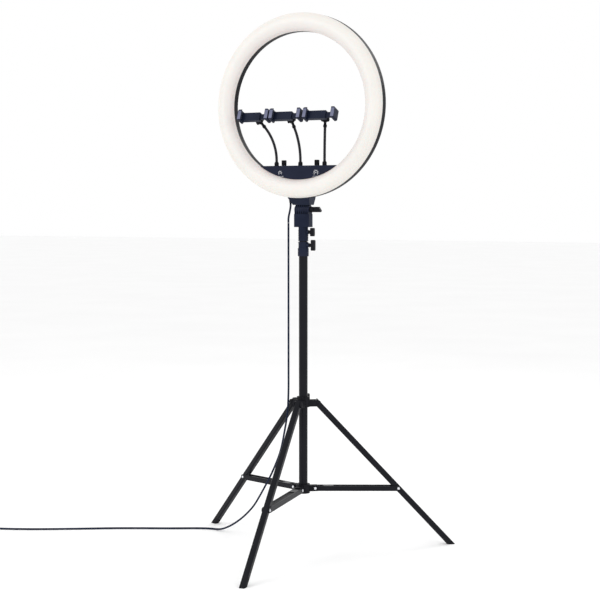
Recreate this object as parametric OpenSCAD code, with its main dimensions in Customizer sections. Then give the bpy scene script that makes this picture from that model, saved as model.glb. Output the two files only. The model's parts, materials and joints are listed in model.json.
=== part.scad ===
// Ring light with three phone holders on a folding tripod stand. Millimetres, +Z up, ring faces -Y.
// The origin is on the floor under the middle of the object's outer box.

/* [Ring light] */
// Outside diameter of the ring
ring_d = 457; // [360:1:560]
// Width of the lit band
band_w = 46; // [30:1:60]
// Height of the ring's centre above the floor
ring_z = 1121; // [1080:1:1180]
// Depth of the straight black rim
rim_depth = 19; // [12:1:30]
// How far the diffuser bulges in front of the rim
dome_rise = 18; // [8:1:24]
// Number of light-emitting diodes in each row
led_count = 48; // [24:1:72]

/* [Control panel] */
// Distance of the panel's flat top below the ring's centre
panel_drop = 148; // [130:1:160]
// Distance of each dimmer knob from the middle
dimmer_x = 46; // [30:1:60]
// Diameter of a dimmer knob
dimmer_d = 12.5; // [9:0.5:18]

/* [Phone holders] */
// Place of each gooseneck on the panel
arm_x = [-67, 0, 67]; // [-90:1:90]
// Place of the middle of each holder
holder_x = [-105, -16, 77]; // [-130:1:130]
// Height of the middle of the holders
holder_z = 1096; // [1060:1:1130]
// Distance of the phone's back in front of the column
holder_y = 62; // [40:1:90]
// Backward lean of the holders
holder_lean = 21; // [0:1:40]
// Opening between the jaws
phone_w = 72.5; // [60:0.5:80]
// Diameter of a gooseneck
arm_d = 7; // [5:0.5:10]

/* [Stand] */
// Diameter of the main tube
tube_d = 22; // [18:1:32]
// Diameter of the sliding mast
mast_d = 18; // [14:1:28]
// Height of the tilt hinge
tilt_z = 864; // [820:1:900]
// Height of the underside of the tube clamp
clamp_z = 747; // [700:1:780]

/* [Tripod] */
// Direction of each leg
leg_turn = [36, 156, -84]; // [-180:1:180]
// Height of the leg pivots
leg_top_z = 375; // [340:1:420]
// Distance of the leg pivots from the column
leg_top_r = 36; // [30:1:50]
// Distance of the brace pivots from the column
brace_r = 246; // [200:1:280]
// Height of the brace pivots
brace_z = 150.5; // [120:0.5:180]
// Thickness of a leg
leg_w = 15; // [12:1:25]

/* [Hidden] */
// Where the column stands in the frame
column = [20, 77, 0];
fit = 0.06;
gap = 0.3;

// Ring section
ring_r = ring_d / 2;
hole_r = ring_r - band_w;
band_r = ring_r - band_w / 2;
rim_front = 28;
rim_back = rim_front - rim_depth;
bevel = 5;
back_f = rim_back - bevel;
shell = 2.2;
dome_r = (band_w * band_w / 4 + dome_rise * dome_rise) / (2 * dome_rise);
board_f = rim_back;
board_t = 1.6;
screw_r = 1.5;
head_t = 1.8;
rear_screws = 8;
plate_t = 8;
plate_screw_x = [-18, 18];
plate_screw_z = [908, 929];
seam_f = rim_back + rim_depth / 2;

// Control box
box_r = hole_r - 0.2;
box_front = 30;
box_split = 10;
box_back = 2;
arm_f = 16;
switch_x = 58;
switch_z = -162;

// Holder
ball_r = 8;
cup_r = 11;
ball_back = 31;
stub = 20;
jaw_t = 7;
jaw_h = 29;
arm_foot_z = ring_z - 138;
arm_rise_z = arm_foot_z + 3;
ball_y = -holder_y + ball_back * cos(holder_lean);
ball_z = holder_z - ball_back * sin(holder_lean);
arm_h = ball_z - arm_rise_z;

// Stand
tube_r = tube_d / 2;
mast_r = mast_d / 2;
hub_z = 157.5;
hub_r = 29.5;
tube_foot_z = 150;
clamp_top_z = clamp_z + 35.7;
mast_top_z = clamp_top_z + gap;
mast_foot_z = 195;
spigot_r = 8;
spigot_top_z = 815;
socket_z = mast_top_z + 2 + gap;
block_z = 820;
low_knob_z = 774.5;
high_knob_z = 807.5;
fin_pitch = 5.2;
fin_t = 2.6;
fin_r = 11;
bolt_r = 3;
socket_r = 12.2;
rib_rise = 0.6;
rib_pitch = 6;
block_w = 42;
block_d = 25;

// Tripod
leg_run = brace_r - leg_top_r;
leg_fall = leg_top_z - brace_z;
leg_angle = atan(leg_run / leg_fall);
leg_length = leg_top_z / cos(leg_angle);
foot_cap = 26;
brace_fall = atan((hub_z - brace_z) / (brace_r - hub_r));
brace_length = norm([brace_r - hub_r, hub_z - brace_z]);
pin_r = 2.5;
strap_in = leg_w / 2 + gap;
strap_t = 2;
strap_h = 13;

// Mains cord, measured from the column's foot
cord_d = 5;
cord_sides = 8;
coil_at = [-874, -222];
coil_r = 28;
coil_start = 110;
coil_steps = 12;
coil_turns = 2;
coil_rise = 5.3;
cord_head_route = [
    [-39, 6, 880], [-39, 5.8, 872], [-39.8, 4.6, 863], [-41, 2.4, 853], [-42, 0, 842], [-42, 0, 830.5]
];
cord_neck_route = [[-42, 0, 830], [-42, 0, 818], [-42, 0, 806], [-42, 0, 795]];
cord_stand_route = [
    [-42, 0, 795], [-42, 0, 740], [-42, 0, 640], [-42, 0, 540], [-42, 0, 460], [-42, 0, 415],
    [-43, 0, 380], [-46, 1, 345], [-55, 4, 302], [-69, 9, 250], [-87, 15, 210], [-111, 23, 168],
    [-145, 34, 117], [-168, 42, 87], [-196, 51, 60], [-225, 61, 38], [-254, 70, 20],
    [-280, 77.5, 8], [-298, 81.5, 3.5], [-316, 82.5, 2.6], [-334, 79, 2.6], [-352, 72, 2.6],
    [-385, 55, 2.6], [-430, 31, 2.6], [-490, 2, 2.6], [-560, -34, 2.6], [-640, -82, 2.6],
    [-720, -128, 2.6], [-790, -162, 2.6], [-850, -184, 2.6]
];
cord_tail_route = [[-906, -203.7, 10.8], [-929, -212, 5.6], [-949, -219.5, 2.6], [-956, -222, 2.6]];
plug_at = [-956, -222, 9];
plug_turn = 200;

$fn = 64;

satin_black = [0.05, 0.05, 0.06];
soft_black = [0.09, 0.09, 0.10];
navy_black = [0.05, 0.06, 0.10];
milk_white = [0.97, 0.95, 0.92];
steel = [0.72, 0.73, 0.75];
board_green = [0.10, 0.30, 0.16];

// ---- Frames ----

module at_column() {
    translate(column) children();
}

// Local +Z points out of the ring's front, and local +Y points up.
module at_ring() {
    at_column() translate([0, 0, ring_z]) rotate([90, 0, 0]) children();
}

module at_leg(i) {
    at_column() rotate([0, 0, leg_turn[i]]) children();
}

// Local +Z runs from the leg's top pivot down to its foot.
module along_leg(i) {
    at_leg(i) translate([leg_top_r, 0, leg_top_z]) rotate([0, 180 - leg_angle, 0]) children();
}

// Local +X runs from the hub's rivet out to the leg.
module along_brace(i) {
    at_leg(i) translate([hub_r, 0, hub_z]) rotate([0, brace_fall, 0]) children();
}

// Local Y points to the holder's back, and the phone's back lies in its XZ plane.
module at_holder(i) {
    at_column() translate([holder_x[i], -holder_y, holder_z]) rotate([-holder_lean, 0, 0]) children();
}

// Local +X points sideways from the gooseneck's foot towards its ball.
module at_arm(i) {
    at_column() translate([arm_x[i], -arm_f, arm_rise_z]) rotate([0, 0, arm_heading(i)]) children();
}

// Local +Z points from the ball back down the gooseneck.
module at_ball(i) {
    at_arm(i) translate([arm_reach(i), 0, arm_h]) rotate([0, 180 + arm_bend(i), 0]) children();
}

function arm_dx(i) = holder_x[i] - arm_x[i];
function arm_dy() = ball_y + arm_f;
function arm_reach(i) = norm([arm_dx(i), arm_dy()]);
function arm_heading(i) = atan2(arm_dy(), arm_dx(i));
function arm_bend(i) = 2 * atan(arm_reach(i) / (arm_h + stub));
function arm_radius(i) = (arm_h - stub * cos(arm_bend(i))) / sin(arm_bend(i));

// ---- Shared shapes ----

module x_rod(r, from, to) {
    translate([from, 0, 0]) rotate([0, 90, 0]) cylinder(r = r, h = to - from);
}

module y_rod(r, from, to) {
    translate([0, from, 0]) rotate([-90, 0, 0]) cylinder(r = r, h = to - from);
}

module round_box(x, y, r) {
    for (sx = [-1, 1], sy = [-1, 1]) {
        translate([sx * (x / 2 - r), sy * (y / 2 - r)]) circle(r);
    }
    square([x, y - 2 * r], center = true);
    square([x - 2 * r, y], center = true);
}

// A domed rivet from one head to the other, along Y.
module rivet(half) {
    y_rod(pin_r, -half - 0.5, half + 0.5);
    for (s = [-1, 1]) {
        translate([0, s * half, 0]) rotate([-s * 90, 0, 0]) rivet_head();
    }
}

module rivet_head() {
    intersection() {
        translate([0, 0, -2.5]) sphere(r = 4.3);
        cylinder(r = 3.6, h = 3);
    }
}

// A winged clamping screw along +X, with its wings up and down.
module wing_knob(tip, head, thick, tall) {
    x_rod(bolt_r, tip, head + 1);
    x_rod(4.6, head - 2.5, head);
    translate([head, 0, 0]) rotate([90, 0, 90]) linear_extrude(thick) round_box(9, tall, 4);
}

// ---- Cord sweep ----

function unit(v) = v / norm(v);
function heading(p, k) = unit(p[min(k + 1, len(p) - 1)] - p[max(k - 1, 0)]);
function side_of(t) = unit(cross(t, abs(t[1]) < 0.9 ? [0, 1, 0] : [0, 0, 1]));
function ring_points(p, k) = let (t = heading(p, k), u = side_of(t), v = cross(t, u))
    [for (s = [0 : cord_sides - 1]) p[k] + cord_d / 2 * (cos(360 * s / cord_sides) * u
        + sin(360 * s / cord_sides) * v)];

function coil_point(k) = let (turn = coil_start + 360 * k / coil_steps) [
    coil_at[0] + coil_r * cos(turn), coil_at[1] + coil_r * sin(turn), 2.6 + coil_rise * k / coil_steps
];
function cord_coil_route() = [for (k = [0 : coil_turns * coil_steps]) coil_point(k)];

module cord_tube(route) {
    rings = len(route);
    points = [for (k = [0 : rings - 1]) each ring_points(route, k)];
    walls = [for (k = [0 : rings - 2], s = [0 : cord_sides - 1]) let (n = (s + 1) % cord_sides)
        [k * cord_sides + s, k * cord_sides + n, (k + 1) * cord_sides + n, (k + 1) * cord_sides + s]];
    first = [for (s = [0 : cord_sides - 1]) cord_sides - 1 - s];
    last = [for (s = [0 : cord_sides - 1]) (rings - 1) * cord_sides + s];
    halves = [for (w = walls) each [[w[0], w[1], w[2]], [w[0], w[2], w[3]]]];
    at_column() polyhedron(points, concat([first], [last], halves));
}

// ---- Stand ----

module column_tube() {
    color(satin_black) at_column() difference() {
        translate([0, 0, tube_foot_z]) cylinder(r = tube_r, h = clamp_z + 18 - tube_foot_z);
        translate([0, 0, tube_foot_z - 1]) cylinder(r = mast_r + fit, h = clamp_z);
    }
}

module brace_hub() {
    color(soft_black) difference() {
        union() {
            at_column() translate([0, 0, tube_foot_z - 4]) cylinder(r = 17, h = 23);
            for (i = [0:2]) {
                at_leg(i) translate([10, -leg_w / 2, tube_foot_z]) cube([26, leg_w, 15]);
            }
        }
        at_column() translate([0, 0, tube_foot_z]) cylinder(r = tube_r + 0.02, h = 30);
        for (i = [0:2]) {
            at_leg(i) translate([hub_r, 0, hub_z]) y_rod(pin_r + 0.02, -20, 20);
        }
    }
}

module hub_pins() {
    color(steel) for (i = [0:2]) {
        at_leg(i) translate([hub_r, 0, hub_z]) rivet(strap_in + strap_t + gap);
    }
}

module tube_clamp() {
    color(soft_black) at_column() difference() {
        union() {
            translate([0, 0, clamp_z]) cylinder(r = 13.75, h = 20);
            translate([0, 0, clamp_z]) cylinder(r = socket_r, h = clamp_top_z - clamp_z);
            translate([0, 0, clamp_top_z - rib_pitch / 2])
                cylinder(r = socket_r + rib_rise, h = rib_pitch / 2);
            translate([0, 0, low_knob_z]) x_rod(5.5, 9.5, 17);
        }
        translate([0, 0, clamp_z - 1]) cylinder(r = tube_r + 0.02, h = 19);
        translate([0, 0, clamp_z]) cylinder(r = mast_r + fit, h = 60);
        translate([0, 0, low_knob_z]) x_rod(bolt_r + fit, 5, 20);
    }
}

module tube_lock_knob() {
    color(satin_black) at_column() translate([0, 0, low_knob_z]) wing_knob(mast_r + 0.4, 22.8, 9.5, 27);
}

module mast_tube() {
    color(satin_black) at_column() difference() {
        translate([0, 0, mast_foot_z]) cylinder(r = mast_r, h = mast_top_z - mast_foot_z);
        translate([0, 0, mast_foot_z - 1]) cylinder(r = mast_r - 1.5, h = 800);
    }
}

module spigot() {
    color(satin_black) at_column() {
        translate([0, 0, mast_top_z - 30]) cylinder(r = mast_r - 1.52, h = 31);
        translate([0, 0, mast_top_z]) cylinder(r = 10.4, h = 2);
        translate([0, 0, mast_top_z]) cylinder(r = spigot_r, h = spigot_top_z - mast_top_z - 1);
        translate([0, 0, spigot_top_z - 1]) cylinder(r1 = spigot_r, r2 = spigot_r - 1, h = 1);
    }
}

module head_socket() {
    color(navy_black) at_column() difference() {
        union() {
            translate([0, 0, socket_z]) cylinder(r = socket_r, h = block_z - socket_z + 1);
            for (z = [socket_z : rib_pitch : block_z - rib_pitch]) {
                translate([0, 0, z]) cylinder(r = socket_r + rib_rise, h = rib_pitch / 2);
            }
            translate([0, 0, high_knob_z]) x_rod(5.5, 9, 15.5);
            translate([0, 0, block_z]) linear_extrude(tilt_z - fin_r - 0.4 - block_z)
                round_box(block_w, block_d, 3);
            for (k = [0:7]) {
                translate([(k - 3.5) * fin_pitch, 0, tilt_z]) socket_fin();
            }
        }
        translate([0, 0, socket_z - 1]) cylinder(r = spigot_r + fit, h = spigot_top_z - socket_z + 1.4);
        translate([0, 0, high_knob_z]) x_rod(bolt_r + fit, 5, 20);
        translate([0, 0, tilt_z]) x_rod(bolt_r + 0.02, -30, 30);
    }
}

module socket_fin() {
    x_rod(fin_r, -fin_t / 2, fin_t / 2);
    translate([-fin_t / 2, -fin_r, -fin_r - 1]) cube([fin_t, 2 * fin_r, fin_r + 1]);
}

module tilt_bolt() {
    color(steel) at_column() translate([0, 0, tilt_z]) {
        x_rod(bolt_r, -20, 40);
        translate([-24, 0, 0]) rotate([0, 90, 0]) cylinder(r = 6, h = 4.3, $fn = 6);
    }
}

module socket_lock_knob() {
    color(satin_black) at_column() translate([0, 0, high_knob_z]) wing_knob(spigot_r + 0.4, 20.9, 9.5, 21);
}

module tilt_knob() {
    color(satin_black) at_column() translate([0, 0, tilt_z]) difference() {
        union() {
            x_rod(6.7, 20, 30);
            rotate([90, 0, 0]) translate([0, 0, -4.5]) linear_extrude(9) polygon([[26, -6.7], [48, -6.7],
                [50, -3], [44, 6.7], [26, 6.7]]);
        }
        x_rod(bolt_r + fit, 10, 41);
    }
}

module neck() {
    color(navy_black) at_column() difference() {
        union() {
            for (k = [-3:3]) {
                translate([k * fin_pitch, 0, tilt_z]) neck_fin();
            }
            hull() {
                translate([-23, -12.5, tilt_z + fin_r + 0.3]) cube([46, 25, 2]);
                translate([-24.5, -18, 884]) cube([49, 27.5, 1]);
                translate([-30, -27, 893]) cube([60, 36, 3]);
            }
            translate([-25, -back_f, 890]) cube([50, plate_t, 46]);
        }
        translate([0, 0, tilt_z]) x_rod(bolt_r + fit, -30, 30);
        translate([0, -back_f, ring_z]) rotate([90, 0, 0]) cylinder(r = ring_r + 0.02, h = 60);
        for (x = plate_screw_x, z = plate_screw_z) {
            translate([x, 0, z]) y_rod(screw_r + 0.1, -20, 20);
        }
    }
}

module neck_fin() {
    half = fin_t / 2 - gap;
    x_rod(fin_r - 0.5, -half, half);
    translate([-half, 0.5 - fin_r, 0]) cube([2 * half, 2 * fin_r - 1, fin_r + 2]);
}

// ---- Ring ----

module rear_housing() {
    color(satin_black) at_ring() difference() {
        union() {
            rotate_extrude($fn = 180) housing_section();
            for (k = [0 : rear_screws - 1]) {
                rotate(22.5 + k * 45) translate([band_r, 0, back_f + 1]) cylinder(r = 4, h = board_f - back_f - 1);
            }
        }
        for (k = [0 : rear_screws - 1]) {
            rotate(22.5 + k * 45) translate([band_r, 0, 0]) cylinder(r = screw_r + 0.1, h = 20);
        }
        for (k = [0 : 6], s = [-2 : 2]) {
            rotate(-45 + k * 45 + s * 2.4) translate([band_r - 9, -1.2, 0]) cube([18, 2.4, 8]);
        }
        for (x = plate_screw_x, z = plate_screw_z) {
            translate([x, z - ring_z, 0]) cylinder(r = screw_r + 0.1, h = 8);
        }
    }
}

module housing_section() {
    polygon([[hole_r + bevel, back_f], [ring_r - bevel, back_f], [ring_r, rim_back], [ring_r, seam_f],
        [ring_r - 0.7, seam_f + 0.5], [ring_r, seam_f + 1], [ring_r, rim_front],
        [ring_r - shell, rim_front], [ring_r - shell, rim_back + 1], [ring_r - bevel - 0.9, back_f + shell],
        [hole_r + bevel + 0.9, back_f + shell], [hole_r + shell, rim_back + 1], [hole_r + shell, rim_front],
        [hole_r, rim_front], [hole_r, seam_f + 1], [hole_r + 0.7, seam_f + 0.5], [hole_r, seam_f], [hole_r, rim_back]]);
}

module diffuser() {
    color(milk_white) at_ring() rotate_extrude($fn = 180) {
        difference() {
            translate([band_r, rim_front + dome_rise - dome_r]) circle(dome_r, $fn = 96);
            translate([band_r, rim_front + dome_rise - dome_r]) circle(dome_r - shell, $fn = 96);
            translate([0, rim_front - 100]) square([ring_d, 100]);
        }
        for (r = [hole_r + shell + 0.1, ring_r - shell - 2.3]) {
            translate([r, rim_front - 3]) square([2.2, 4.6]);
        }
    }
}

module led_board() {
    color(board_green) at_ring() difference() {
        translate([0, 0, board_f]) cylinder(r = band_r + 17, h = board_t, $fn = 180);
        translate([0, 0, board_f - 1]) cylinder(r = band_r - 17, h = board_t + 2, $fn = 180);
        for (k = [0 : rear_screws - 1]) {
            rotate(22.5 + k * 45) translate([band_r, 0, 0]) cylinder(r = screw_r + 0.1, h = 20);
        }
    }
}

module leds() {
    color([0.95, 0.92, 0.70]) at_ring() for (k = [0 : led_count - 1], r = [band_r - 8, band_r + 8]) {
        rotate(360 * k / led_count) translate([r - 1.75, -1.75, board_f + board_t]) cube([3.5, 3.5, 1.2]);
    }
}

module case_screws() {
    color(steel) at_ring() {
        for (k = [0 : rear_screws - 1]) {
            rotate(22.5 + k * 45) translate([band_r, 0, back_f - head_t]) pan_screw(12);
        }
        for (x = plate_screw_x, z = plate_screw_z) {
            translate([x, z - ring_z, back_f - plate_t - head_t]) pan_screw(14.4);
        }
    }
}

// A pan-head screw along +Z with a cross recess.
module pan_screw(length) {
    difference() {
        cylinder(r = 3.2, h = head_t);
        for (a = [0, 90]) {
            rotate(a) translate([-1.8, -0.4, -0.1]) cube([3.6, 0.8, 1.1]);
        }
    }
    translate([0, 0, head_t - 0.3]) cylinder(r = screw_r, h = length - head_t + 0.3);
}

// ---- Control box ----

module box_outline(r, drop) {
    intersection() {
        circle(r, $fn = 180);
        translate([-120, -drop - 60]) square([240, 60]);
    }
}

module control_front() {
    color(navy_black) at_ring() difference() {
        translate([0, 0, box_split]) linear_extrude(box_front - box_split) box_outline(box_r, panel_drop);
        translate([0, 0, box_split - 1]) linear_extrude(box_front - box_split - 1.2)
            box_outline(box_r - shell, panel_drop + shell);
        for (x = [-dimmer_x, dimmer_x]) {
            translate([x, -panel_drop - 5, arm_f]) rotate([-90, 0, 0]) cylinder(r = 3.4, h = 10);
        }
        for (x = arm_x) {
            translate([x, -panel_drop - 5, arm_f]) rotate([-90, 0, 0]) cylinder(r = 4.5, h = 10);
        }
    }
}

module control_rear() {
    color(satin_black) at_ring() difference() {
        translate([0, 0, box_back]) linear_extrude(box_split - box_back) box_outline(box_r, panel_drop);
        translate([0, 0, box_back + shell]) linear_extrude(box_split) box_outline(box_r - shell, panel_drop + shell);
        translate([switch_x - 7.3, switch_z - 4.3, 0]) cube([14.6, 8.6, 6]);
        for (x = [-30 : 6 : 30]) {
            translate([x - 1.2, -170, 0]) cube([2.4, 14, 6]);
        }
    }
}

module driver_board() {
    color(board_green) at_ring() {
        translate([-50, -170, box_back + shell + 1]) cube([98, 18, 1.6]);
        translate([-20, -166, box_back + shell + 2.6]) cube([14, 10, 9]);
        translate([8, -165, box_back + shell + 2.6]) cube([12, 8, 6]);
        translate([28, -162, box_back + shell + 2.6]) cylinder(r = 4, h = 12);
    }
}

module dimmer_pots() {
    color(steel) at_ring() for (x = [-dimmer_x, dimmer_x]) {
        translate([x - 6, -panel_drop - shell - 10.1, arm_f - 5.5]) cube([12, 10, 12]);
        translate([x, -panel_drop - shell - 1, arm_f]) rotate([-90, 0, 0]) cylinder(r = bolt_r, h = 11);
    }
}

module dimmer_knob(x) {
    color(soft_black) at_column() translate([x, -arm_f, ring_z - panel_drop + 0.6]) difference() {
        union() {
            cylinder(r = dimmer_d / 2, h = 12.6);
            translate([0, 0, 12.6]) cylinder(r1 = dimmer_d / 2, r2 = dimmer_d / 2 - 0.8, h = 0.8);
        }
        translate([0, 0, -1]) cylinder(r = bolt_r + fit, h = 9);
        for (a = [0 : 20 : 340]) {
            rotate(a) translate([dimmer_d / 2 + 0.1, 0, 2]) cylinder(r = 0.6, h = 20, $fn = 8);
        }
    }
}

module brightness_knob() {
    dimmer_knob(-dimmer_x);
}

module colour_knob() {
    dimmer_knob(dimmer_x);
}

module power_switch() {
    color(satin_black) at_ring() translate([switch_x, switch_z, box_back + 1]) rotate([90, 0, 0])
        translate([0, 0, -4]) linear_extrude(8) polygon([[-6.6, 1.5], [-6.6, -2.6], [0, -1.2], [6.6, -1.2], [6.6, 1.5], [0, 3]]);
}

// ---- Phone holders ----

module arm_ferrules() {
    color(satin_black) at_ring() for (x = arm_x) {
        translate([x, -panel_drop - shell - 5, arm_f]) rotate([-90, 0, 0]) cylinder(r = 4.4, h = 12);
        translate([x, -panel_drop - shell - 3.1, arm_f]) rotate([-90, 0, 0]) cylinder(r = 7, h = 3, $fn = 6);
        translate([x, -panel_drop, arm_f]) rotate([-90, 0, 0]) cylinder(r = 5.6, h = 7);
        translate([x, -panel_drop + 7, arm_f]) rotate([-90, 0, 0]) cylinder(r1 = 5.6, r2 = 4.4, h = 3);
    }
}

module gooseneck(i) {
    color(satin_black) at_arm(i) {
        translate([0, 0, arm_foot_z - arm_rise_z]) cylinder(r = arm_d / 2, h = arm_rise_z - arm_foot_z);
        translate([arm_radius(i), 0, 0]) rotate([90, 0, 180]) rotate_extrude(angle = arm_bend(i))
            translate([arm_radius(i), 0]) circle(arm_d / 2);
    }
}

module gooseneck_left() {
    gooseneck(0);
}

module gooseneck_middle() {
    gooseneck(1);
}

module gooseneck_right() {
    gooseneck(2);
}

module ball(i) {
    color(satin_black) at_ball(i) {
        sphere(r = ball_r);
        translate([0, 0, 5]) cylinder(r = 3.4, h = 10);
        translate([0, 0, 14]) cylinder(r = 4.6, h = stub - 14 - gap);
    }
}

module ball_left() {
    ball(0);
}

module ball_middle() {
    ball(1);
}

module ball_right() {
    ball(2);
}

module ball_cup(i) {
    color(soft_black) difference() {
        union() {
            at_ball(i) sphere(r = cup_r);
            at_holder(i) y_rod(6.5, ball_back - 13.7, ball_back - 9);
            at_holder(i) y_rod(pin_r, 13, ball_back - 9);
        }
        at_ball(i) sphere(r = ball_r + fit);
        at_ball(i) translate([0, 0, 4]) cylinder(r = 20, h = 20);
    }
}

module ball_cup_left() {
    ball_cup(0);
}

module ball_cup_middle() {
    ball_cup(1);
}

module ball_cup_right() {
    ball_cup(2);
}

// The outline of a jaw seen from the front, from the phone's edge outwards.
module jaw_outline(width) {
    difference() {
        translate([0, -jaw_h / 2]) square([width, jaw_h]);
        translate([width - 4, jaw_h / 2 - 4]) square(5);
        translate([width - 4, -jaw_h / 2 - 1]) square(5);
    }
    translate([width - 4, jaw_h / 2 - 4]) circle(4);
    translate([width - 4, -jaw_h / 2 + 4]) circle(4);
}

module jaw() {
    translate([phone_w / 2, 12, 0]) rotate([90, 0, 0]) linear_extrude(23) jaw_outline(jaw_t);
    translate([phone_w / 2 - 3.5, -8.6, 0]) rotate([90, 0, 0]) linear_extrude(2.4) jaw_outline(jaw_t + 3.5);
}

module clamp_back(i) {
    color(soft_black) at_holder(i) difference() {
        union() {
            mirror([1, 0, 0]) jaw();
            translate([-phone_w / 2 - 1, 1, -10.5]) cube([phone_w / 2 + 15, 11, 21]);
            y_rod(8, 11, ball_back - 14);
        }
        translate([-30, 3.5, -7]) cube([60, 6, 14]);
        y_rod(pin_r + fit, 12.7, 40);
    }
}

module clamp_back_left() {
    clamp_back(0);
}

module clamp_back_middle() {
    clamp_back(1);
}

module clamp_back_right() {
    clamp_back(2);
}

module clamp_jaw(i) {
    color(soft_black) at_holder(i) {
        jaw();
        translate([-12, 3.8, -6.7]) cube([phone_w / 2 + 13, 5.4, 13.4]);
    }
}

module clamp_jaw_left() {
    clamp_jaw(0);
}

module clamp_jaw_middle() {
    clamp_jaw(1);
}

module clamp_jaw_right() {
    clamp_jaw(2);
}

// ---- Tripod ----

module leg_collar() {
    ear_in = leg_w / 2 + gap;
    color(soft_black) difference() {
        union() {
            at_column() translate([0, 0, leg_top_z - 9]) cylinder(r = 16.5, h = 26);
            for (i = [0:2], s = [-1, 1]) {
                at_leg(i) translate([10, s * (ear_in + 1.5) - 1.5, leg_top_z - 8]) cube([26, 3, 16]);
                at_leg(i) translate([leg_top_r, s * (ear_in + 1.5), leg_top_z]) y_rod(8, -1.5, 1.5);
            }
            at_column() rotate([0, 0, 96]) translate([0, 0, leg_top_z + 9]) x_rod(5.5, 12, 21);
        }
        at_column() translate([0, 0, leg_top_z - 20]) cylinder(r = tube_r + 0.1, h = 60);
        for (i = [0:2]) {
            at_leg(i) translate([leg_top_r, 0, leg_top_z]) y_rod(pin_r + 0.02, -20, 20);
        }
        at_column() rotate([0, 0, 96]) translate([0, 0, leg_top_z + 9]) x_rod(bolt_r + fit, 5, 30);
    }
}

module collar_pins() {
    color(satin_black) for (i = [0:2]) {
        at_leg(i) translate([leg_top_r, 0, leg_top_z]) rivet(leg_w / 2 + gap + 3);
    }
}

module collar_lock_knob() {
    color(satin_black) at_column() rotate([0, 0, 96]) translate([0, 0, leg_top_z + 9])
        wing_knob(tube_r + 0.4, 26, 9.5, 24);
}

module leg(i) {
    color(satin_black) along_leg(i) difference() {
        translate([0, 0, -8]) linear_extrude(leg_length - foot_cap + 8) round_box(leg_w, leg_w, 3.5);
        translate([0, 0, 8]) linear_extrude(leg_length) round_box(leg_w - 3, leg_w - 3, 2);
        y_rod(pin_r + fit, -20, 20);
    }
}

module leg_right() {
    leg(0);
}

module leg_left() {
    leg(1);
}

module leg_front() {
    leg(2);
}

module foot(i) {
    color(soft_black) difference() {
        along_leg(i) {
            translate([0, 0, leg_length - foot_cap]) linear_extrude(foot_cap + 20) round_box(leg_w, leg_w, 3.5);
            translate([0, 0, leg_length - foot_cap - 18]) linear_extrude(20) round_box(leg_w - 3.1, leg_w - 3.1, 2);
        }
        at_column() translate([-500, -500, -60]) cube([1000, 1000, 60]);
    }
}

module foot_right() {
    foot(0);
}

module foot_left() {
    foot(1);
}

module foot_front() {
    foot(2);
}

module brace_strap() {
    rotate([90, 0, 0]) linear_extrude(strap_t, center = true) {
        translate([0, -strap_h / 2]) square([brace_length, strap_h]);
        circle(strap_h / 2);
        translate([brace_length, 0]) circle(strap_h / 2);
    }
}

module brace(i) {
    color(satin_black) along_brace(i) difference() {
        union() {
            for (s = [-1, 1]) {
                translate([0, s * (strap_in + strap_t / 2), 0]) brace_strap();
            }
            translate([22, -strap_in - 0.5, strap_h / 2 - 2]) cube([26, 2 * strap_in + 1, 2]);
        }
        y_rod(pin_r + fit, -20, 20);
        translate([brace_length, 0, 0]) y_rod(pin_r + 0.02, -20, 20);
    }
}

module brace_right() {
    brace(0);
}

module brace_left() {
    brace(1);
}

module brace_front() {
    brace(2);
}

// Each rivet ends inside its strap, clear of the leg, because the leg and brace fold as two trees.
module brace_rivets(i) {
    color(steel) along_brace(i) translate([brace_length, 0, 0]) for (s = [-1, 1]) {
        translate([0, s * (strap_in + strap_t), 0]) rotate([-s * 90, 0, 0]) {
            rivet_head();
            translate([0, 0, -strap_t]) cylinder(r = pin_r, h = strap_t + 0.5);
        }
    }
}

module brace_rivets_right() {
    brace_rivets(0);
}

module brace_rivets_left() {
    brace_rivets(1);
}

module brace_rivets_front() {
    brace_rivets(2);
}

// ---- Mains cord ----

module cord_gland() {
    color(soft_black) at_column() {
        translate([-47, -back_f, 905]) cube([16, 15, 34]);
        translate([-39, 6, 880]) cylinder(r1 = cord_d / 2 + 0.4, r2 = 5, h = 26);
    }
}

module cord_head() {
    color(navy_black) cord_tube(cord_head_route);
}

module cord_neck() {
    color(navy_black) cord_tube(cord_neck_route);
}

module cord_drop() {
    color(navy_black) cord_tube(concat(cord_stand_route, cord_coil_route(), cord_tail_route));
}

module mains_plug() {
    color(satin_black) at_column() translate(plug_at) rotate([0, 0, plug_turn]) {
        hull() {
            translate([6, -6, -6]) cube([2, 12, 10]);
            translate([20, -12, -9]) cube([16, 24, 17]);
        }
        translate([0, 0, -6.4]) x_rod(2.6, 0, 10);
        for (y = [-6.35, 6.35]) {
            translate([36, y - 0.8, -4]) cube([17, 1.6, 6.3]);
        }
    }
}

column_tube();
brace_hub();
hub_pins();
tube_clamp();
tube_lock_knob();
mast_tube();
spigot();
head_socket();
tilt_bolt();
socket_lock_knob();
tilt_knob();
neck();
rear_housing();
diffuser();
led_board();
leds();
case_screws();
control_front();
control_rear();
driver_board();
dimmer_pots();
brightness_knob();
colour_knob();
power_switch();
arm_ferrules();
gooseneck_left();
gooseneck_middle();
gooseneck_right();
ball_left();
ball_middle();
ball_right();
ball_cup_left();
ball_cup_middle();
ball_cup_right();
clamp_back_left();
clamp_back_middle();
clamp_back_right();
clamp_jaw_left();
clamp_jaw_middle();
clamp_jaw_right();
leg_collar();
collar_pins();
collar_lock_knob();
leg_right();
leg_left();
leg_front();
foot_right();
foot_left();
foot_front();
brace_right();
brace_left();
brace_front();
brace_rivets_right();
brace_rivets_left();
brace_rivets_front();
cord_gland();
cord_head();
cord_neck();
cord_drop();
mains_plug();
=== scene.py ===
import json
import math

import bpy
from mathutils import Matrix, Vector


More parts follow.
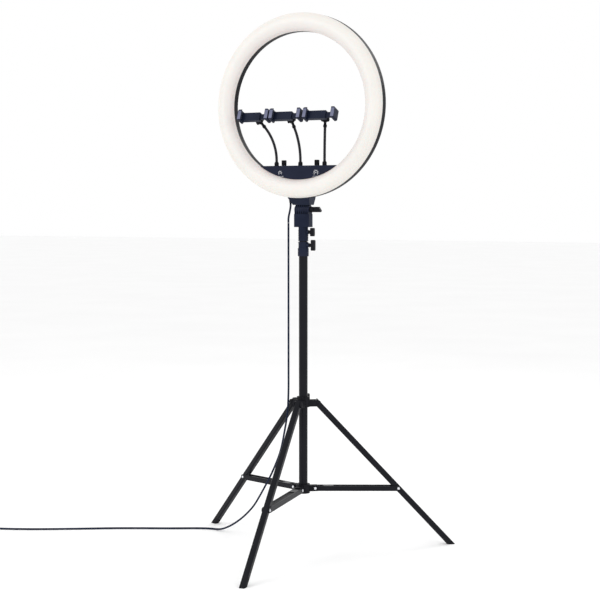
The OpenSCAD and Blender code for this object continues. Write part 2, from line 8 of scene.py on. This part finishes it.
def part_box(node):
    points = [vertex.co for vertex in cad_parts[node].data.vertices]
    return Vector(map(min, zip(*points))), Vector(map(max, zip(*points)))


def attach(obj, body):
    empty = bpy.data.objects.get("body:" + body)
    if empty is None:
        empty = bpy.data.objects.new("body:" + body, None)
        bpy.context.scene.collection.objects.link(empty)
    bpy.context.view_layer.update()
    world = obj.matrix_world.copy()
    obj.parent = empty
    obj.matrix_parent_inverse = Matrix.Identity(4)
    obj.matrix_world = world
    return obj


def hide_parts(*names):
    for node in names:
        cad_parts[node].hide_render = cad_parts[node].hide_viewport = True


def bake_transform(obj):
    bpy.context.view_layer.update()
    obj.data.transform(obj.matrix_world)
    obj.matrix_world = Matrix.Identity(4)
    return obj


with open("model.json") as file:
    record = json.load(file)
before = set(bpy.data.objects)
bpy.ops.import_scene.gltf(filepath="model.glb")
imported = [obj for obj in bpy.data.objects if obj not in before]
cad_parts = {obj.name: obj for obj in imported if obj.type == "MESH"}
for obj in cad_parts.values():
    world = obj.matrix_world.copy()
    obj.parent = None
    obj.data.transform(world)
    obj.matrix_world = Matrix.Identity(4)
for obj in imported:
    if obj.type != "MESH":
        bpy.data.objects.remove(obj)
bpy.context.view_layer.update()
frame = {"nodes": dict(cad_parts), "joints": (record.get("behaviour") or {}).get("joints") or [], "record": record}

MM = 0.001
SIDES = ("left", "middle", "right")


# ---- Places, from the frame ----

def middle(node):
    low, high = (Vector(corner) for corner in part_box(node))
    return (low + high) / 2


COLUMN = middle("column_tube")
COLUMN.z = 0.0
RING = middle("rear_housing")
RING_LOW, RING_HIGH = (Vector(corner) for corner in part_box("rear_housing"))
RING_RADIUS = (RING_HIGH.x - RING_LOW.x) / 2
BAND = 46 * MM
HOLE_RADIUS = RING_RADIUS - BAND
PANEL_LOW, PANEL_HIGH = (Vector(corner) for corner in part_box("control_front"))
JOINTS = {joint["name"]: joint for joint in frame["joints"]}


def from_column(x, y, z):
    """A point given in millimetres from the column's foot."""
    return COLUMN + Vector((x, y, z)) * MM


# ---- Camera ----

VIEW_TURN = math.radians(26.94)
VIEW_TILT = math.radians(3.815)
VIEW_AIM = math.radians(0.134)
VIEW_DISTANCE = 3.5453
VIEW_HEIGHT = 0.8729


def add_camera():
    lens = bpy.data.cameras.new("view")
    lens.sensor_width = 36.0
    lens.lens = 84.64
    lens.clip_end = 60.0
    camera = bpy.data.objects.new("view", lens)
    bpy.context.scene.collection.objects.link(camera)
    away = Vector((math.sin(VIEW_TURN), -math.cos(VIEW_TURN), 0.0))
    camera.location = COLUMN + away * VIEW_DISTANCE + Vector((0, 0, VIEW_HEIGHT))
    camera.rotation_euler = (math.pi / 2 - VIEW_TILT, 0.0, VIEW_TURN + VIEW_AIM)
    bpy.context.scene.camera = camera


add_camera()


# ---- Materials ----

def node_maker(tree):
    def make(kind, **values):
        node = tree.nodes.new(kind)
        for name, value in values.items():
            setattr(node, name, value)
        return node
    return make


def blank_material(name):
    material = bpy.data.materials.new(name)
    material.use_nodes = True
    tree = material.node_tree
    tree.nodes.clear()
    make = node_maker(tree)
    shader = make("ShaderNodeBsdfPrincipled")
    output = make("ShaderNodeOutputMaterial")
    tree.links.new(shader.outputs["BSDF"], output.inputs["Surface"])
    return material, tree, make, shader


def noise(tree, make, scale, detail=3.0, stretch=(1.0, 1.0, 1.0)):
    """Noise in the object's own space. Scale is in features per metre."""
    place = make("ShaderNodeTexCoord")
    mapping = make("ShaderNodeMapping")
    mapping.inputs["Scale"].default_value = stretch
    texture = make("ShaderNodeTexNoise")
    texture.inputs["Scale"].default_value = scale
    texture.inputs["Detail"].default_value = detail
    tree.links.new(place.outputs["Object"], mapping.inputs["Vector"])
    tree.links.new(mapping.outputs["Vector"], texture.inputs["Vector"])
    return texture.outputs["Fac"]


def ramp(tree, make, value, stops):
    node = make("ShaderNodeValToRGB")
    while len(node.color_ramp.elements) < len(stops):
        node.color_ramp.elements.new(0.5)
    for element, (at, colour) in zip(node.color_ramp.elements, stops):
        element.position = at
        element.color = (*colour, 1.0)
    tree.links.new(value, node.inputs["Fac"])
    return node.outputs["Color"]


def spread(tree, make, value, low, high):
    node = make("ShaderNodeMapRange")
    node.inputs["From Min"].default_value = 0.3
    node.inputs["From Max"].default_value = 0.7
    node.inputs["To Min"].default_value = low
    node.inputs["To Max"].default_value = high
    tree.links.new(value, node.inputs["Value"])
    return node.outputs["Result"]


def bump(tree, make, shader, height, strength, distance):
    node = make("ShaderNodeBump")
    node.inputs["Strength"].default_value = strength
    node.inputs["Distance"].default_value = distance
    tree.links.new(height, node.inputs["Height"])
    tree.links.new(node.outputs["Normal"], shader.inputs["Normal"])


def paint_edge_highlight(tree, make, colour, highlight_colour):
    """Lightens the sharpest edges with a painted highlight, where light catches them."""
    shape = make("ShaderNodeNewGeometry")
    edge_highlight = ramp(tree, make, shape.outputs["Pointiness"], [(0.58, (0, 0, 0)), (0.70, (1, 1, 1))])
    mix = make("ShaderNodeMix", data_type="RGBA")
    mix.inputs["B"].default_value = (*highlight_colour, 1.0)
    tree.links.new(edge_highlight, mix.inputs["Factor"])
    tree.links.new(colour, mix.inputs["A"])
    return mix.outputs["Result"]


def moulded(name, dark, light, rough, grain=900.0, shine=0.08, coat=0.0, bump_by=0.25, edge_highlight=None):
    """Paint or moulded plastic: cloudy colour, uneven gloss and a fine grain."""
    material, tree, make, shader = blank_material(name)
    cloud = noise(tree, make, 18.0, 4.0)
    fine = noise(tree, make, grain, 2.0)
    colour = ramp(tree, make, cloud, [(0.3, dark), (0.7, light)])
    # Optional painted highlight on the sharpest edges
    if edge_highlight:
        colour = paint_edge_highlight(tree, make, colour, edge_highlight)
    tree.links.new(colour, shader.inputs["Base Color"])
    tree.links.new(spread(tree, make, fine, rough[0], rough[1]), shader.inputs["Roughness"])
    shader.inputs["Specular IOR Level"].default_value = shine
    shader.inputs["Coat Weight"].default_value = coat
    shader.inputs["Coat Roughness"].default_value = 0.25
    bump(tree, make, shader, fine, bump_by, 0.0003)
    return material


def brushed(name, dark, light, rough, stretch):
    material, tree, make, shader = blank_material(name)
    streaks = noise(tree, make, 400.0, 3.0, stretch)
    tree.links.new(ramp(tree, make, streaks, [(0.3, dark), (0.7, light)]), shader.inputs["Base Color"])
    tree.links.new(spread(tree, make, streaks, rough[0], rough[1]), shader.inputs["Roughness"])
    shader.inputs["Metallic"].default_value = 1.0
    bump(tree, make, shader, streaks, 0.12, 0.0002)
    return material


def glowing_diffuser():
    """Milky plastic lit from behind; its glow is warmer and dimmer towards its two edges, painted shade where the
    dome's profile rounds off.
    """
    material, tree, make, shader = blank_material("milky_diffuser")
    place = make("ShaderNodeTexCoord")
    offset = make("ShaderNodeVectorMath", operation="SUBTRACT")
    offset.inputs[1].default_value = RING
    flat = make("ShaderNodeVectorMath", operation="MULTIPLY")
    flat.inputs[1].default_value = (1.0, 0.0, 1.0)
    radius = make("ShaderNodeVectorMath", operation="LENGTH")
    across = make("ShaderNodeMapRange")
    across.inputs["From Min"].default_value = HOLE_RADIUS
    across.inputs["From Max"].default_value = RING_RADIUS
    tree.links.new(place.outputs["Object"], offset.inputs[0])
    tree.links.new(offset.outputs["Vector"], flat.inputs[0])
    tree.links.new(flat.outputs["Vector"], radius.inputs[0])
    tree.links.new(radius.outputs["Value"], across.inputs["Value"])
    # Emission colour across the ring: the lamp's own glow, with painted shade at the rounded inner and outer
    # edges.
    glow_with_edge_shade = ramp(tree, make, across.outputs["Result"], [
        (0.0, (0.62, 0.52, 0.50)), (0.16, (0.88, 0.80, 0.77)), (0.5, (1.0, 0.97, 0.92)),
        (0.86, (0.95, 0.90, 0.82)), (1.0, (0.78, 0.73, 0.68)),
    ])
    cloud = noise(tree, make, 14.0, 2.0)
    fine = noise(tree, make, 1500.0, 2.0)
    tree.links.new(ramp(tree, make, cloud, [(0.3, (0.41, 0.40, 0.385)), (0.7, (0.44, 0.43, 0.415))]),
                   shader.inputs["Base Color"])
    tree.links.new(glow_with_edge_shade, shader.inputs["Emission Color"])
    shader.inputs["Emission Strength"].default_value = 0.42
    tree.links.new(spread(tree, make, fine, 0.38, 0.48), shader.inputs["Roughness"])
    shader.inputs["Subsurface Weight"].default_value = 0.15
    shader.inputs["Subsurface Scale"].default_value = 0.004
    bump(tree, make, shader, fine, 0.08, 0.0002)
    return material


def gloss_phosphor():
    material, tree, make, shader = blank_material("led_phosphor")
    fine = noise(tree, make, 700.0, 2.0)
    tree.links.new(ramp(tree, make, fine, [(0.3, (0.80, 0.70, 0.30)), (0.7, (0.95, 0.88, 0.55))]),
                   shader.inputs["Base Color"])
    shader.inputs["Roughness"].default_value = 0.3
    return material


def circuit_board():
    material, tree, make, shader = blank_material("circuit_board")
    tracks = make("ShaderNodeTexBrick")
    tracks.inputs["Scale"].default_value = 60.0
    tracks.inputs["Color1"].default_value = (0.02, 0.16, 0.06, 1.0)
    tracks.inputs["Color2"].default_value = (0.03, 0.20, 0.08, 1.0)
    tracks.inputs["Mortar"].default_value = (0.10, 0.32, 0.14, 1.0)
    place = make("ShaderNodeTexCoord")
    tree.links.new(place.outputs["Object"], tracks.inputs["Vector"])
    tree.links.new(tracks.outputs["Color"], shader.inputs["Base Color"])
    shader.inputs["Roughness"].default_value = 0.35
    return material


# The edge colours below are painted highlights on the sharpest edges.
PAINT = moulded("satin_black_paint", (0.0025, 0.003, 0.005), (0.006, 0.0065, 0.010), (0.24, 0.36), 1400.0,
                shine=0.1, coat=0.03, bump_by=0.12, edge_highlight=(0.012, 0.012, 0.016))
SOFT = moulded("soft_black_plastic", (0.005, 0.005, 0.007), (0.010, 0.010, 0.013), (0.42, 0.58), 2200.0,
               bump_by=0.35, edge_highlight=(0.014, 0.014, 0.018))
NAVY = moulded("blue_black_plastic", (0.006, 0.009, 0.022), (0.013, 0.018, 0.038), (0.30, 0.42), 1800.0,
               bump_by=0.2, edge_highlight=(0.022, 0.024, 0.044))
CASE = moulded("case_black_plastic", (0.004, 0.004, 0.006), (0.009, 0.009, 0.012), (0.35, 0.5), 1600.0,
               bump_by=0.3, edge_highlight=(0.012, 0.012, 0.015))
RUBBER = moulded("matt_rubber", (0.008, 0.008, 0.010), (0.018, 0.018, 0.021), (0.62, 0.8), 1200.0,
                 bump_by=0.5)
CORD = moulded("cord_jacket", (0.006, 0.010, 0.026), (0.014, 0.020, 0.044), (0.38, 0.52), 1300.0,
               bump_by=0.2)
PAD = moulded("grey_pad", (0.03, 0.035, 0.05), (0.06, 0.065, 0.085), (0.6, 0.78), 1500.0, bump_by=0.4)
# Pale grey for the jaws' front lips: a painted highlight on their lit faces.
LIP_HIGHLIGHT = moulded("jaw_lip_painted_highlight", (0.12, 0.13, 0.20), (0.19, 0.20, 0.29), (0.35, 0.5), 1500.0, bump_by=0.2)
INK = moulded("white_marking", (0.62, 0.62, 0.64), (0.78, 0.78, 0.80), (0.5, 0.6), 1500.0, bump_by=0.1)
STEEL = brushed("zinc_steel", (0.60, 0.61, 0.64), (0.84, 0.85, 0.88), (0.22, 0.38), (1.0, 6.0, 1.0))
HOSE = brushed("black_hose", (0.012, 0.012, 0.015), (0.035, 0.035, 0.04), (0.3, 0.45), (1.0, 1.0, 4.0))
DIFFUSER = glowing_diffuser()
PHOSPHOR = gloss_phosphor()
BOARD = circuit_board()

CAD_MATERIALS = {
    "satin_black": PAINT,
    "soft_black": SOFT,
    "navy_black": NAVY,
    "case_black": CASE,
    "milk_white": DIFFUSER,
    "steel": STEEL,
    "board_green": BOARD,
    "led_yellow": PHOSPHOR,
    "rubber_black": RUBBER,
    "cord_black": CORD,
}


# Nodes whose plastic is bluer than the rest of their slot
NODE_MATERIALS = {f"clamp_{part}_{side}": NAVY for part in ("back", "jaw") for side in SIDES}
NODE_MATERIALS["tube_clamp"] = NAVY


def paint_cad():
    slots = {part["node"]: part["material_slot"] for part in frame["record"]["subparts"]}
    for name, node in frame["nodes"].items():
        node.data.materials.clear()
        node.data.materials.append(NODE_MATERIALS.get(name, CAD_MATERIALS[slots[name]]))


paint_cad()


# ---- Mesh pieces ----

def mesh_piece(name, vertices, faces, material, smooth=True):
    mesh = bpy.data.meshes.new(name)
    mesh.from_pydata([tuple(vertex) for vertex in vertices], [], faces)
    mesh.validate()
    mesh.update()
    mesh.polygons.foreach_set("use_smooth", [smooth] * len(mesh.polygons))
    mesh.materials.append(material)
    piece = bpy.data.objects.new(name, mesh)
    bpy.context.scene.collection.objects.link(piece)
    return piece


def frames_along(path):
    """A point, and two directions square to the path, for each of its points, without twist."""
    side = None
    for k, point in enumerate(path):
        ahead = (path[min(k + 1, len(path) - 1)] - path[max(k - 1, 0)]).normalized()
        if side is None:
            side = ahead.cross(Vector((0, 1, 0)) if abs(ahead.y) < 0.9 else Vector((0, 0, 1)))
        side = (side - ahead * side.dot(ahead)).normalized()
        yield point, side, ahead.cross(side)


def tube(name, path, radius, material, sides=12):
    """A closed tube along the path. radius is a number or a function of the point's number and angle."""
    at = radius if callable(radius) else lambda k, a: radius
    vertices = []
    for k, (point, u, v) in enumerate(frames_along(path)):
        for s in range(sides):
            a = 2 * math.pi * s / sides
            vertices.append(point + (u * math.cos(a) + v * math.sin(a)) * at(k, a))
    faces = [tuple(range(sides - 1, -1, -1))]
    for k in range(len(path) - 1):
        for s in range(sides):
            n = (s + 1) % sides
            faces.append((k * sides + s, k * sides + n, (k + 1) * sides + n, (k + 1) * sides + s))
    faces.append(tuple((len(path) - 1) * sides + s for s in range(sides)))
    return mesh_piece(name, vertices, faces, material)


def curve_through(points, step):
    """Points every step or less along a smooth curve through the given points."""
    path = []
    for k in range(len(points) - 1):
        a, b = points[k], points[k + 1]
        before = points[k - 1] if k else a * 2 - b
        after = points[k + 2] if k + 2 < len(points) else b * 2 - a
        count = max(1, math.ceil((b - a).length / step))
        for j in range(count):
            t = j / count
            path.append((a * 2 + (b - before) * t + (before * 2 - a * 5 + b * 4 - after) * t * t
                         + (a * 3 - before - b * 3 + after) * t * t * t) / 2)
    path.append(points[-1])
    return path


# ---- Mains cord ----

# Routes in millimetres from the column's foot, as in the CAD source
CORD_DIAMETER = 5 * MM
CORD_LOWEST = 2.55 * MM
CORD_STEP = 8 * MM
HEAD_ROUTE = [
    (-39, 6, 880), (-39, 5.8, 872), (-39.8, 4.6, 863), (-41, 2.4, 853), (-42, 0, 842), (-42, 0, 830.5),
]
NECK_ROUTE = [(-42, 0, 830), (-42, 0, 818), (-42, 0, 806), (-42, 0, 795)]
DROP_ROUTE = [
    (-42, 0, 795), (-42, 0, 740), (-42, 0, 640), (-42, 0, 540), (-42, 0, 460), (-42, 0, 415),
    (-43, 0, 380), (-46, 1, 345), (-55, 4, 302), (-69, 9, 250), (-87, 15, 210), (-111, 23, 168),
    (-145, 34, 117), (-168, 42, 87), (-196, 51, 60), (-225, 61, 38), (-254, 70, 20),
    (-280, 77.5, 8), (-298, 81.5, 3.5), (-316, 82.5, 2.6), (-334, 79, 2.6), (-352, 72, 2.6),
    (-385, 55, 2.6), (-430, 31, 2.6), (-490, 2, 2.6), (-560, -34, 2.6), (-640, -82, 2.6),
    (-720, -128, 2.6), (-790, -162, 2.6), (-850, -184, 2.6),
]
COIL_AT = (-874, -222)
COIL_RADIUS = 28
COIL_START = math.radians(110)
COIL_STEPS = 12
COIL_TURNS = 2
COIL_RISE = 5.3
TAIL_ROUTE = [(-906, -203.7, 10.8), (-929, -212, 5.6), (-949, -219.5, 2.6), (-956, -222, 2.6)]


def coil_point(k):
    """A place on the stored coil, k steps round from where the cord joins it."""
    turn = COIL_START + math.tau * k / COIL_STEPS
    return (COIL_AT[0] + COIL_RADIUS * math.cos(turn), COIL_AT[1] + COIL_RADIUS * math.sin(turn),
            2.6 + COIL_RISE * k / COIL_STEPS)


COIL_ROUTE = [coil_point(k) for k in range(COIL_TURNS * COIL_STEPS + 1)]


def cord_piece(name, route, node, with_pieces=()):
    path = curve_through([from_column(*point) for point in route], CORD_STEP)
    for point in path:
        point.z = max(point.z, CORD_LOWEST)
    piece = tube(name, path, CORD_DIAMETER / 2, CORD, 16)
    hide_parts(node)
    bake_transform(piece)
    return piece


def coil_tie():
    """A soft strap round both turns of the coil, on its far side."""
    inner, outer = (Vector(coil_point(k)) for k in (COIL_STEPS // 2, 3 * COIL_STEPS // 2))
    centre = from_column(*((inner + outer) / 2))
    turn = COIL_START + math.pi
    out = Vector((math.cos(turn), math.sin(turn), 0.0))
    half_height = (outer.z - inner.z) / 2 * MM
    reach = CORD_DIAMETER / 2 + 0.5 * MM
    path = []
    for k in range(25):
        angle = math.tau * k / 24
        lift = half_height if math.sin(angle) >= 0 else -half_height
        rise = Vector((0, 0, reach * math.sin(angle) + lift))
        path.append(centre + out * (reach * math.cos(angle)) + rise)
    strap = tube("coil_tie", path, 0.45 * MM, SOFT, 8)
    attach(strap, "stand")
    return strap


cord_piece("cord_at_head", HEAD_ROUTE, "cord_head")
cord_piece("cord_at_neck", NECK_ROUTE, "cord_neck")
cord_piece("cord_down_stand", DROP_ROUTE + COIL_ROUTE + TAIL_ROUTE, "cord_drop",
           with_pieces=[frame["nodes"]["mains_plug"], coil_tie()])


# ---- Goosenecks ----

HOSE_RADIUS = 3.5 * MM
HOSE_PITCH = 2.2 * MM
HOSE_GROOVE = 0.45 * MM
HOSE_STEP = 0.45 * MM
HOSE_STUB = 20 * MM
ARM_BACK = 16 * MM
ARM_FEET = {side: COLUMN.x + x * MM for side, x in zip(SIDES, (-67, 0, 67))}


def gooseneck(side):
    """A wound metal hose along the CAD arc, from its ferrule up to the ball."""
    low = Vector(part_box(f"gooseneck_{side}")[0])
    ball = Vector(JOINTS[f"holder_{side}_pitch"]["pos_m"])
    foot = Vector((ARM_FEET[side], COLUMN.y - ARM_BACK, low.z))
    start = foot + Vector((0, 0, 3 * MM))
    across = Vector((ball.x - foot.x, ball.y - foot.y, 0.0))
    rise = ball.z - start.z
    bend = 2 * math.atan(across.length / (rise + HOSE_STUB))
    radius = (rise - HOSE_STUB * math.cos(bend)) / math.sin(bend)
    outwards = across.normalized()
    count = round(radius * bend / HOSE_STEP)
    path = [foot + Vector((0, 0, z * 0.5 * MM)) for z in range(6)]
    for k in range(count + 1):
        a = bend * k / count
        path.append(start + outwards * radius * (1 - math.cos(a)) + Vector((0, 0, radius * math.sin(a))))
    travelled = [0.0]
    for a, b in zip(path, path[1:]):
        travelled.append(travelled[-1] + (b - a).length)

    def wound(k, angle):
        turn = travelled[k] / HOSE_PITCH - angle / (2 * math.pi)
        return HOSE_RADIUS - HOSE_GROOVE * (0.5 - 0.5 * math.cos(2 * math.pi * turn)) ** 2

    piece = tube(f"hose_{side}", path, wound, HOSE, 20)
    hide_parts(f"gooseneck_{side}")
    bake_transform(piece)


for side in SIDES:
    gooseneck(side)


# ---- Holder faces and pads ----

LEAN = math.radians(21)
BALL_BACK = 31 * MM
PAD_RIBS = 5
PAD_PITCH = 4.6 * MM


def holder_frame(side):
    """From a holder's own axes, with Y to its back, to the row frame."""
    ball = Vector(JOINTS[f"holder_{side}_pitch"]["pos_m"])
    turn = Matrix.Rotation(-LEAN, 4, "X")
    return Matrix.Translation(ball) @ turn @ Matrix.Translation((0, -BALL_BACK, 0))


def rounded_slab(name, size, round_by, material):
    """A slab with its four long edges and both faces softly rounded, centred on the origin."""
    x, y, z = (s / 2 for s in size)
    mesh = bpy.data.meshes.new(name)
    corners = [(sx * x, sy * y, sz * z) for sx in (-1, 1) for sy in (-1, 1) for sz in (-1, 1)]
    faces = [(0, 1, 3, 2), (4, 6, 7, 5), (0, 4, 5, 1), (2, 3, 7, 6), (0, 2, 6, 4), (1, 5, 7, 3)]
    mesh.from_pydata(corners, [], faces)
    mesh.materials.append(material)
    piece = bpy.data.objects.new(name, mesh)
    bpy.context.scene.collection.objects.link(piece)
    rounding = piece.modifiers.new("rounding", "BEVEL")
    rounding.width = round_by
    rounding.segments = 3
    return piece


def place(piece, matrix, body, slot):
    piece.matrix_world = matrix
    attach(piece, body)


def jaw_trim(side):
    """A ribbed pad inside each jaw, and a paler slab on its front lip, a painted highlight where light falls on
    the lip's face.
    """
    base = holder_frame(side)
    for sign, body in ((-1, f"holder_{side}"), (1, f"jaw_{side}")):
        tag = f"{side}_{'fixed' if sign < 0 else 'sliding'}"
        for k in range(PAD_RIBS):
            rib = rounded_slab(f"pad_rib_{tag}_{k}", (0.9 * MM, 7.4 * MM, 3.6 * MM), 0.4 * MM, PAD)
            spot = Vector((sign * 35.9 * MM, -4.2 * MM, (k - PAD_RIBS // 2) * PAD_PITCH))
            place(rib, base @ Matrix.Translation(spot), body, "rubber_black")
        highlight_slab = rounded_slab(f"lip_highlight_{tag}", (8.6 * MM, 0.5 * MM, 22.5 * MM), 0.22 * MM, LIP_HIGHLIGHT)
        spot = Vector((sign * 38.0 * MM, -11.15 * MM, 0))
        place(highlight_slab, base @ Matrix.Translation(spot), body, "soft_black")


for side in SIDES:
    jaw_trim(side)


# ---- Panel markings ----

PANEL_FACE = PANEL_LOW.y - 0.06 * MM
PANEL_MIDDLE = (PANEL_LOW.z + PANEL_HIGH.z) / 2


def marking(name, outline_groups):
    """Flat white shapes on the panel's front. Each group is a closed outline of (x, z) points."""
    vertices, faces = [], []
    for outline in outline_groups:
        first = len(vertices)
        vertices += [(x, PANEL_FACE, z) for x, z in outline]
        faces.append(tuple(range(first, first + len(outline))))
    piece = mesh_piece(name, vertices, faces, INK, smooth=False)
    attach(piece, "ring_head")
    return piece


def arc_band(x, z, inner, outer, start, end, count=24):
    angles = [start + (end - start) * k / count for k in range(count + 1)]
    rim = [(x + outer * math.cos(a), z + outer * math.sin(a)) for a in angles]
    return rim + [(x + inner * math.cos(a), z + inner * math.sin(a)) for a in reversed(angles)]


def bar(x, z, length, width, angle):
    c, s = math.cos(angle), math.sin(angle)
    u, v = length / 2, width / 2
    corners = [(-u, -v), (u, -v), (u, v), (-u, v)]
    return [(x + u * c - v * s, z + u * s + v * c) for u, v in corners]


def dial_mark(name, x, radius):
    """An open arc of ticks round a dot, as beside a turning knob."""
    z = PANEL_MIDDLE - 0.5 * MM
    groups = [arc_band(x, z, radius * 0.80, radius, math.radians(-50), math.radians(230))]
    groups.append(arc_band(x, z, 0.02 * MM, radius * 0.22, 0, 2 * math.pi))
    for k in range(9):
        a = math.radians(-50 + 35 * k)
        reach = radius * 1.3
        groups.append(bar(x + reach * math.cos(a), z + reach * math.sin(a), radius * 0.3, 0.5 * MM, a))
    marking(name, groups)


def slider_mark(name, x):
    """A thin line with a wider end, standing in for the low to high scale."""
    z = PANEL_MIDDLE - 9.5 * MM
    marking(name, [bar(x, z, 16 * MM, 0.5 * MM, 0), bar(x + 8 * MM, z, 0.8 * MM, 3 * MM, 0),
                   bar(x - 8 * MM, z, 0.8 * MM, 1.6 * MM, 0)])


dial_mark("dial_mark_brightness", COLUMN.x - 50 * MM, 4.2 * MM)
dial_mark("dial_mark_colour", COLUMN.x + 50 * MM, 5.6 * MM)
slider_mark("scale_brightness", COLUMN.x - 50 * MM)
slider_mark("scale_colour", COLUMN.x + 50 * MM)


# ---- Knob pointers and cord guard rings ----

def knob_pointer(name, node, body):
    low, high = (Vector(corner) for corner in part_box(node))
    line = rounded_slab(name, (0.9 * MM, 4.6 * MM, 0.3 * MM), 0.1 * MM, INK)
    spot = Vector(((low.x + high.x) / 2, (low.y + high.y) / 2 - 2.6 * MM, high.z + 0.02 * MM))
    place(line, Matrix.Translation(spot), body, "milk_white")


knob_pointer("pointer_brightness", "brightness_knob", "brightness_dial")
knob_pointer("pointer_colour", "colour_knob", "colour_dial")


GUARD_FOOT = (-39, 6, 880)
GUARD_TALL = 26
GUARD_RADII = (2.9, 5.0)


def strain_ribs():
    """Rings round the tapered cord guard."""
    x, y, foot = GUARD_FOOT
    narrow, wide = GUARD_RADII
    for k in range(5):
        z = foot + 3 + 4.2 * k
        radius = (narrow + (z - foot) / GUARD_TALL * (wide - narrow)) * MM + 0.35 * MM
        path = [from_column(x, y, z) + Vector((math.cos(a), math.sin(a), 0)) * radius
                for a in (2 * math.pi * s / 24 for s in range(25))]
        rib = tube(f"guard_ring_{k}", path, 0.55 * MM, RUBBER, 8)
        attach(rib, "ring_head")


strain_ribs()


# ---- Floor and light ----

def add_floor():
    material, tree, make, shader = blank_material("studio_floor")
    cloud = noise(tree, make, 1.5, 2.0)
    tree.links.new(ramp(tree, make, cloud, [(0.3, (0.95, 0.95, 0.95)), (0.7, (0.97, 0.97, 0.97))]),
                   shader.inputs["Base Color"])
    shader.inputs["Roughness"].default_value = 0.9
    shader.inputs["Specular IOR Level"].default_value = 0.1
    size = 30.0
    floor = mesh_piece("floor", [(-size, -size, 0), (size, -size, 0), (size, size, 0), (-size, size, 0)],
                       [(0, 1, 2, 3)], material, smooth=False)
    floor.location.z = -0.0002


def add_area_light(name, at, aim, size, power):
    light = bpy.data.lights.new(name, "AREA")
    light.shape = "DISK"
    light.size = size
    light.energy = power
    lamp = bpy.data.objects.new(name, light)
    bpy.context.scene.collection.objects.link(lamp)
    lamp.location = at
    lamp.rotation_euler = (Vector(aim) - Vector(at)).to_track_quat("-Z", "Y").to_euler()


def add_world():
    world = bpy.data.worlds.new("studio")
    bpy.context.scene.world = world
    world.use_nodes = True
    backdrop = world.node_tree.nodes["Background"]
    backdrop.inputs["Color"].default_value = (1.0, 1.0, 1.0, 1.0)
    backdrop.inputs["Strength"].default_value = 1.0


add_floor()
add_world()
add_area_light("key", (-1.6, -2.6, 2.6), (0, 0, 0.8), 1.6, 20.0)
add_area_light("fill", (2.8, -1.6, 1.8), (0, 0, 0.8), 2.0, 12.0)
add_area_light("back", (0.8, 2.8, 2.6), (0, 0, 1.0), 1.6, 16.0)
bpy.context.scene.view_settings.view_transform = "Standard"
